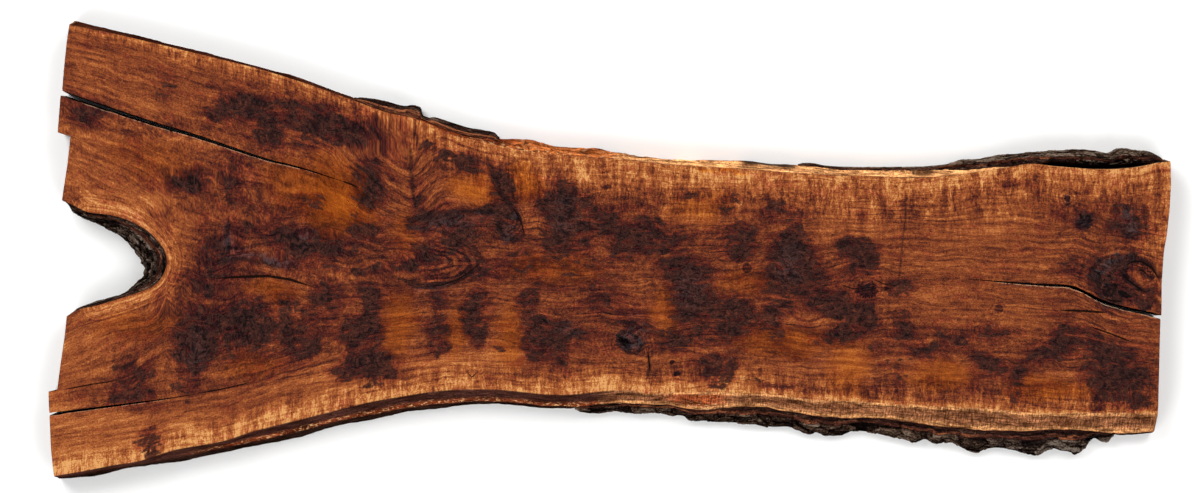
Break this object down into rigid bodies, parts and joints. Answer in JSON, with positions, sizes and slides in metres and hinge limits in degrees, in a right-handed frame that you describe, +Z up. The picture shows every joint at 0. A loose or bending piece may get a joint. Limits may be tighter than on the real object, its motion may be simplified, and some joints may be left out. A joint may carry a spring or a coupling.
{
  "type": "walnut wood slab",
  "caption": "Forked live-edge walnut slab with sawn ends, drying cracks, knots and patches of bark, lying flat as a table top or bench blank.",
  "frame": {"origin": "below the middle of the object's box, on the surface that the flat underside lies on", "axes": "+X along the slab from the forked end to the single trunk end, +Z up out of the figured top face"},
  "size_m": [1.8, 0.7414, 0.055],
  "materials": {
    "wood": "oiled figured walnut heartwood with paler sapwood at the live edges, satin to semi-gloss",
    "bark": "dry furrowed walnut bark, matt, near black with grey-brown crests"
  },
  "bodies": {
    "root": {"slab_wood": "wood", "bark_fork": "bark", "bark_lower": "bark", "bark_upper_left": "bark", "bark_upper_right": "bark"}
  },
  "joints": []
}
